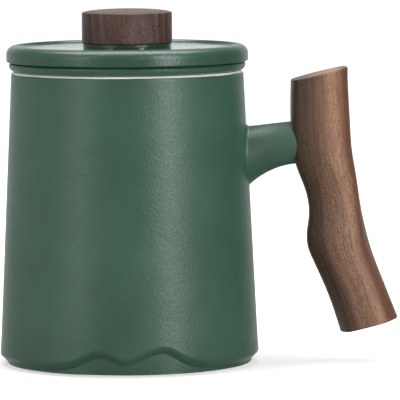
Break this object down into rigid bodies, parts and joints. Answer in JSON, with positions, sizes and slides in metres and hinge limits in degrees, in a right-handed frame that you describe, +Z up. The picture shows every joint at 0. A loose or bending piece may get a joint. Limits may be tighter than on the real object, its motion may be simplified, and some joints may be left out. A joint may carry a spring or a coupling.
{
  "type": "lidded mug",
  "caption": "Lidded ceramic tea mug with a drop-in infuser, a set-back foot under a hill-shaped skin edge, a turned wooden knob and a branch-shaped wooden side grip.",
  "frame": {"origin": "centre of the foot ring, in the plane that the mug stands on, on the axis of the mug, infuser and lid", "axes": "+Z up along the mug's axis, +X towards the side grip, -Y towards the two hills on the front"},
  "size_m": [0.1389, 0.0901, 0.1235],
  "materials": {
    "glaze": "satin green glaze",
    "infuser_glaze": "satin green glaze",
    "lid_glaze": "satin green glaze",
    "grip_wood": "oiled walnut",
    "knob_wood": "oiled walnut",
    "adhesive": "cured, matte",
    "screw_steel": "plain",
    "washer_steel": "plain",
    "seal": "translucent silicone"
  },
  "bodies": {
    "mug": {"mug_body": "glaze", "handle_grip": "grip_wood", "grip_bond": "adhesive"},
    "infuser": {"infuser": "infuser_glaze"},
    "lid": {"lid": "lid_glaze", "lid_knob": "knob_wood", "knob_screw": "screw_steel", "knob_washer": "washer_steel", "knob_seal": "seal"}
  },
  "joints": [
    {"name": "infuser_lift", "type": "slide", "parent": "mug", "child": "infuser", "axis": [0, 0, 1], "range_m": [0, 0.09]},
    {"name": "lid_lift", "type": "slide", "parent": "infuser", "child": "lid", "axis": [0, 0, 1], "range_m": [0, 0.05]}
  ]
}
